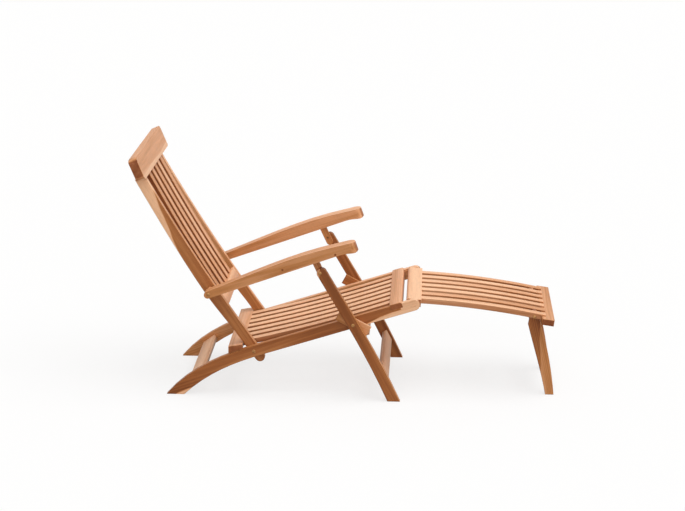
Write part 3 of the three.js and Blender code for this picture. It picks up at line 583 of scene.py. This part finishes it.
def build_slat_tree():
    tree = bpy.data.node_groups.new("slat_run", "GeometryNodeTree")
    sockets = (
        ("Start", "NodeSocketVector"), ("Start handle", "NodeSocketVector"),
        ("End handle", "NodeSocketVector"), ("End", "NodeSocketVector"),
        ("Width", "NodeSocketFloat"), ("Depth", "NodeSocketFloat"), ("Edge", "NodeSocketFloat"),
        ("Count", "NodeSocketInt"), ("Pitch", "NodeSocketFloat"), ("Wood", "NodeSocketMaterial"),
    )
    tree.interface.new_socket("Geometry", in_out="INPUT", socket_type="NodeSocketGeometry")
    for name, kind in sockets:
        tree.interface.new_socket(name, in_out="INPUT", socket_type=kind)
    tree.interface.new_socket("Geometry", in_out="OUTPUT", socket_type="NodeSocketGeometry")
    given = add_node(tree, "NodeGroupInput").outputs
    line = add_node(tree, "GeometryNodeCurvePrimitiveBezierSegment", {
        "Resolution": slat_bow_steps, "Start": given["Start"], "Start Handle": given["Start handle"],
        "End Handle": given["End handle"], "End": given["End"],
    }, mode="POSITION")
    upward = add_node(tree, "GeometryNodeSetCurveNormal", {"Curve": line.outputs[0]}, mode="Z_UP")
    strip = add_node(tree, "GeometryNodeCurvePrimitiveQuadrilateral",
                     {"Width": given["Width"], "Height": given["Depth"]}, mode="RECTANGLE")
    eased = add_node(tree, "GeometryNodeFilletCurve", {
        "Curve": strip.outputs[0], "Radius": given["Edge"], "Count": slat_edge_steps,
    }, mode="POLY")
    swept = add_node(tree, "GeometryNodeCurveToMesh", {
        "Curve": upward.outputs[0], "Profile Curve": eased.outputs[0], "Fill Caps": True,
    })
    step = add_node(tree, "ShaderNodeCombineXYZ", {"Y": given["Pitch"]})
    less = add_node(tree, "ShaderNodeMath", {0: given["Count"], 1: 1}, operation="SUBTRACT")
    span = add_node(tree, "ShaderNodeMath", {0: less.outputs[0], 1: given["Pitch"]}, operation="MULTIPLY")
    half = add_node(tree, "ShaderNodeMath", {0: span.outputs[0], 1: -0.5}, operation="MULTIPLY")
    first = add_node(tree, "ShaderNodeCombineXYZ", {"Y": half.outputs[0]})
    row = add_node(tree, "GeometryNodeMeshLine", {
        "Count": given["Count"], "Start Location": first.outputs[0], "Offset": step.outputs[0],
    }, mode="OFFSET", count_mode="TOTAL")
    placed = add_node(tree, "GeometryNodeInstanceOnPoints",
                      {"Points": row.outputs[0], "Instance": swept.outputs[0]})
    real = add_node(tree, "GeometryNodeRealizeInstances", {0: placed.outputs[0]})
    finished = add_node(tree, "GeometryNodeSetMaterial",
                        {"Geometry": real.outputs[0], "Material": given["Wood"]})
    add_node(tree, "NodeGroupOutput", {"Geometry": finished.outputs[0]})
    return tree


slat_tree = build_slat_tree()
print("slat tree", len(slat_tree.nodes), "nodes")


def fill_inputs(piece, tree, values):
    """Runs a Geometry Nodes tree with the given inputs and keeps its result as a plain mesh."""
    run = piece.modifiers.new(tree.name, "NODES")
    run.node_group = tree
    for item in tree.interface.items_tree:
        if item.in_out == "INPUT" and item.name in values:
            run[item.identifier] = values[item.name]
    return plain_mesh(piece)


def measure_slat(node):
    """The bow and size of one slat of the frame, from a curve fitted through its points."""
    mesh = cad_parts[node].data
    points = np.array([v.co for v in mesh.vertices])
    side = points[:, [0, 2]]
    low, high = side[side[:, 0].argmin()], side[side[:, 0].argmax()]
    chord = (high - low) / np.linalg.norm(high - low)
    normal = np.array([-chord[1], chord[0]])
    middle = side.mean(0)
    reach, rise = (side - middle) @ chord, (side - middle) @ normal
    bow = np.polyfit(reach, rise, 2)
    depth = 2 * np.abs(rise - np.polyval(bow, reach)).max()
    start, end = reach.min(), reach.max()
    third = (end - start) / 3
    slopes = np.polyval(np.polyder(bow), [start, end])
    flat = [
        (start, np.polyval(bow, start)), (start + third, np.polyval(bow, start) + third * slopes[0]),
        (end - third, np.polyval(bow, end) - third * slopes[1]), (end, np.polyval(bow, end)),
    ]
    line = [middle + a * chord + b * normal for a, b in flat]
    width = points[:, 1].max() - points[:, 1].min()
    angle = math.degrees(math.atan2(chord[1], chord[0]))
    return [Vector((x, 0, z)) for x, z in line], width, depth, angle


def slat_middle(node):
    low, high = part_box(node)
    return (low.y + high.y) / 2


def make_slats(name, nodes):
    line, width, depth, angle = measure_slat(nodes[len(nodes) // 2])
    pitch = (slat_middle(nodes[-1]) - slat_middle(nodes[0])) / (len(nodes) - 1)
    piece = bpy.data.objects.new(name, bpy.data.meshes.new(name))
    bpy.context.scene.collection.objects.link(piece)
    fill_inputs(piece, slat_tree, {
        "Start": line[0], "Start handle": line[1], "End handle": line[2], "End": line[3],
        "Width": width, "Depth": depth, "Edge": slat_edge, "Count": len(nodes),
        "Pitch": abs(pitch), "Wood": teak,
    })
    print(name, len(nodes), "slats", round(width, 4), "x", round(depth, 4), "bow", round(angle, 1))
    return piece, angle, abs(pitch)


# %% [markdown]
# Slats come from different planks, so each one needs its own tone and its own rings. The run is
# one mesh, so its points are sorted by which slat they belong to before the grain is written.
# The narrow sides of slats get painted shade, for the shade that falls between them, so they are dark.

# %% Make the three runs of slats
slat_tone_spread = 0.3
slat_shift_along = 1
slat_shift_across = 0.05


def mark_slats(piece, angle, pitch, count, tone, side_shade):
    mesh = piece.data
    rule = random.Random(piece.name)
    points = np.zeros(len(mesh.vertices) * 3)
    mesh.vertices.foreach_get("co", points)
    points = points.reshape(-1, 3)
    which = np.rint(points[:, 1] / pitch + (count - 1) / 2).astype(int)
    mark_grain(piece, heading(angle), piece.name, tone, side_shade=side_shade)
    local = np.zeros(len(points) * 3)
    mesh.attributes["grain"].data.foreach_get("vector", local)
    local = local.reshape(-1, 3)
    tones = np.zeros(len(points))
    mesh.attributes["tone"].data.foreach_get("value", tones)
    for slat in range(count):
        mine = which == slat
        shifts = (slat_shift_along, slat_shift_across, slat_shift_across)
        local[mine] += [rule.uniform(-shift, shift) for shift in shifts]
        tones[mine] += rule.uniform(-0.5, 0.5) * slat_tone_spread
    write_values(mesh, "grain", "FLOAT_VECTOR", "POINT", local, "vector")
    write_values(mesh, "tone", "FLOAT", "POINT", tones)
    write_values(mesh, "pale", "FLOAT", "POINT", tones)


# The last column is how much painted shade the slat sides get.
for name, stem, count, body, tone, side_shade in (
    ("seat_slats", "seat_slat", 7, "seat", 0.28, 1),
    ("back_slats", "back_slat", 5, "back", 0.68, 1),
    ("footrest_slats", "footrest_slat", 7, "footrest", (0.3, 0.62), 0.6),
):
    nodes = [f"{stem}_{place + 1}" for place in range(count)]
    slats, angle, pitch = make_slats(name, nodes)
    ease_edges(slats)
    mark_slats(slats, angle, pitch, count, tone, side_shade)
    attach(slats, body)
    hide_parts(*nodes)

# %% [markdown]
# ## Brass
# The bolt heads are small satin brass domes. Weather leaves brighter and browner clouds on them,
# and fine scratches break up their gloss. The clouds and scratches are noise in the bolt's own
# place, so the metal keeps its pattern when a joint turns.

# %% Make the brass material
cloud_scale = 260
scratch_scale = 2400
brass_brown, brass_bright = "764c24", "b4875a"
brown_end, bright_start = 0.3, 0.65
brass_gloss_low, brass_gloss_high = 0.36, 0.54
brass_relief = 0.12
brass_relief_height = 0.0002


def make_brass():
    material, tree = new_material("satin_brass")
    place = add_node(tree, "ShaderNodeTexCoord").outputs["Object"]
    cloud = add_node(tree, "ShaderNodeTexNoise",
                     {"Vector": place, "Scale": cloud_scale, "Detail": 3}).outputs["Fac"]
    scratch = add_node(tree, "ShaderNodeTexNoise",
                       {"Vector": place, "Scale": scratch_scale, "Detail": 2}).outputs["Fac"]
    ramp = add_node(tree, "ShaderNodeValToRGB", {"Fac": cloud})
    ramp.color_ramp.elements[0].position = brown_end
    ramp.color_ramp.elements[0].color = colour(brass_brown)
    ramp.color_ramp.elements[1].position = bright_start
    ramp.color_ramp.elements[1].color = colour(brass_bright)
    roughness = remap(tree, scratch, noise_low, noise_high, brass_gloss_low, brass_gloss_high)
    bump = add_node(tree, "ShaderNodeBump",
                    {"Height": scratch, "Strength": brass_relief, "Distance": brass_relief_height})
    surface = add_node(tree, "ShaderNodeBsdfPrincipled", {
        "Base Color": ramp.outputs["Color"], "Metallic": 1, "Roughness": roughness,
        "Normal": bump.outputs[0],
    })
    add_node(tree, "ShaderNodeOutputMaterial", {"Surface": surface.outputs[0]})
    return material


brass = make_brass()
print("brass", len(brass.node_tree.nodes), "nodes")

# %% [markdown]
# ## Bolts
# A bolt is a turned part, so a profile spun about its axis gives its shank, its domed head and
# the socket in it. The frame's own bolts have few sides, which is enough for joints, and these
# stand in for them at the same size with rounder heads.

# %% Turn the bolts
bolt_sides = 32
shank_round = 0.004
head_round = 0.007
head_height = 0.0026
socket_round = 0.0026
socket_depth = 0.0018
dome_steps = 5
dome_start_share = 0.3
cover_depth = 0.0013
bolt_sharp_angle = math.radians(40)


def dome_profile(base):
    """Points of a domed head with a socket, from its rim to the middle of the socket."""
    points = [(head_round, base)]
    for step in range(dome_steps + 1):
        turn = math.pi / 2 * step / dome_steps
        radius = socket_round + (head_round - socket_round) * math.cos(turn)
        share = dome_start_share + (1 - dome_start_share) * math.sin(turn)
        points.append((radius, base + share * head_height))
    points.append((socket_round, base + head_height - socket_depth))
    points.append((0, base + head_height - socket_depth))
    return points


def spin(profile, centre, side):
    """Turns a profile of radius and place across the chair into a closed mesh."""
    work = bmesh.new()
    rings = []
    for radius, place in profile:
        count = 1 if radius == 0 else bolt_sides
        ring = []
        for step in range(count):
            turn = 2 * math.pi * step / count
            ring.append(work.verts.new((centre.x + radius * math.cos(turn), side * place,
                                        centre.z + radius * math.sin(turn))))
        rings.append(ring)
    for low, high in zip(rings, rings[1:]):
        for step in range(bolt_sides):
            after = (step + 1) % bolt_sides
            corners = [low[step % len(low)], low[after % len(low)],
                       high[after % len(high)], high[step % len(high)]]
            kept = [corner for place, corner in enumerate(corners) if corner not in corners[:place]]
            work.faces.new(kept)
    bmesh.ops.recalc_face_normals(work, faces=work.faces)
    return work


def make_bolt(node, body):
    low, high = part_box(node)
    side = 1 if low.y + high.y > 0 else -1
    near, far = sorted((abs(low.y), abs(high.y)))
    centre = (low + high) / 2
    shoulder = far - head_height
    plain_end = node.startswith(("arm_front", "footrest_hinge"))
    if plain_end:
        start = [(0, near), (shank_round, near)]
    else:
        start = [(0, near), (head_round - head_height / 2, near), (head_round, near + head_height / 3),
                 (head_round, near + head_height), (shank_round, near + head_height)]
    if node.startswith("footrest_hinge"):
        top = far - cover_depth
        head = [(head_round, shoulder), (head_round, top), (0, top)]
    else:
        head = dome_profile(shoulder)
    profile = start + [(shank_round, shoulder)] + head
    mesh = bpy.data.meshes.new("brass_" + node)
    work = spin(profile, centre, side)
    for face in work.faces:
        face.smooth = True
    for edge in work.edges:
        edge.smooth = edge.calc_face_angle(math.pi) < bolt_sharp_angle
    work.to_mesh(mesh)
    work.free()
    mesh.materials.append(brass)
    piece = bpy.data.objects.new("brass_" + node, mesh)
    bpy.context.scene.collection.objects.link(piece)
    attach(piece, body)
    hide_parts(node)


bolt_bodies = {"back_pivot": "seat", "leg_pivot": "seat", "arm_rear": "back",
               "arm_front": "legs", "footrest_hinge": "seat", "footrest_leg": "footrest"}
for stem, body in bolt_bodies.items():
    for side in ("right", "left"):
        make_bolt(f"{stem}_bolt_{side}", body)
print("bolts", 2 * len(bolt_bodies))

# %% [markdown]
# ## Wooden plugs
# No bolt shows at the footrest hinge, and two dark dots show on each arm. These are turned plugs
# that cover sunk bolt and screw heads. A plug is a short cylinder repeated at even steps, so one
# small Geometry Nodes tree makes all of them. They stand a tenth of a millimetre proud.

# %% Build the plug tree
plug_sides = 24
plug_proud = 0.0001


def build_plug_tree():
    tree = bpy.data.node_groups.new("plug_run", "GeometryNodeTree")
    tree.interface.new_socket("Geometry", in_out="INPUT", socket_type="NodeSocketGeometry")
    sockets = (
        ("Start", "NodeSocketVector"), ("Step", "NodeSocketVector"), ("Count", "NodeSocketInt"),
        ("Round", "NodeSocketFloat"), ("Length", "NodeSocketFloat"), ("Wood", "NodeSocketMaterial"),
    )
    for name, kind in sockets:
        tree.interface.new_socket(name, in_out="INPUT", socket_type=kind)
    tree.interface.new_socket("Geometry", in_out="OUTPUT", socket_type="NodeSocketGeometry")
    given = add_node(tree, "NodeGroupInput").outputs
    plug = add_node(tree, "GeometryNodeMeshCylinder", {
        "Vertices": plug_sides, "Radius": given["Round"], "Depth": given["Length"]})
    row = add_node(tree, "GeometryNodeMeshLine", {
        "Count": given["Count"], "Start Location": given["Start"], "Offset": given["Step"],
    }, mode="OFFSET", count_mode="TOTAL")
    placed = add_node(tree, "GeometryNodeInstanceOnPoints", {
        "Points": row.outputs[0], "Instance": plug.outputs["Mesh"], "Rotation": (math.pi / 2, 0, 0)})
    real = add_node(tree, "GeometryNodeRealizeInstances", {0: placed.outputs[0]})
    finished = add_node(tree, "GeometryNodeSetMaterial",
                        {"Geometry": real.outputs[0], "Material": given["Wood"]})
    add_node(tree, "NodeGroupOutput", {"Geometry": finished.outputs[0]})
    return tree


plug_tree = build_plug_tree()
print("plug tree", len(plug_tree.nodes), "nodes")

# %% [markdown]
# The two arm plugs of a side stand on a sloping line that follows the arm, so one start and one
# step place both. The plug of the footrest hinge sits right over the head of its bolt.

# %% Set the plugs
arm_plug_face = 0.3005
arm_plug_step_along, arm_plug_step_out, arm_plug_step_up = 0.195, 0.0023, 0.062
arm_plug_round = 0.0042
arm_plug_length = 0.003
hinge_plug_round = 0.0071


def make_plugs(name, body, start, step, count, radius, length, tone):
    """start is the middle of the first plug's outer face."""
    piece = bpy.data.objects.new(name, bpy.data.meshes.new(name))
    bpy.context.scene.collection.objects.link(piece)
    inward = Vector((0, math.copysign(length / 2 - plug_proud, start.y), 0))
    fill_inputs(piece, plug_tree, {"Start": start - inward, "Step": step, "Count": count,
                                   "Round": radius, "Length": length, "Wood": teak})
    mark_grain(piece, heading(arm_slope), name, tone)
    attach(piece, body)


for side, sign in (("right", -1), ("left", 1)):
    start = spot(-229, 505) + across_chair * sign * arm_plug_face
    step = Vector((arm_plug_step_along, sign * arm_plug_step_out, arm_plug_step_up))
    make_plugs(f"plugs_arm_{side}", f"arm_{side}", start, step, 2, arm_plug_round, arm_plug_length, 0.95)
    low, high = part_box(f"footrest_hinge_bolt_{side}")
    face = Vector(((low.x + high.x) / 2, sign * max(abs(low.y), abs(high.y)), (low.z + high.z) / 2))
    make_plugs(f"plug_hinge_{side}", "seat", face, Vector((0, 0, 0)), 1, hinge_plug_round, cover_depth, 0.2)
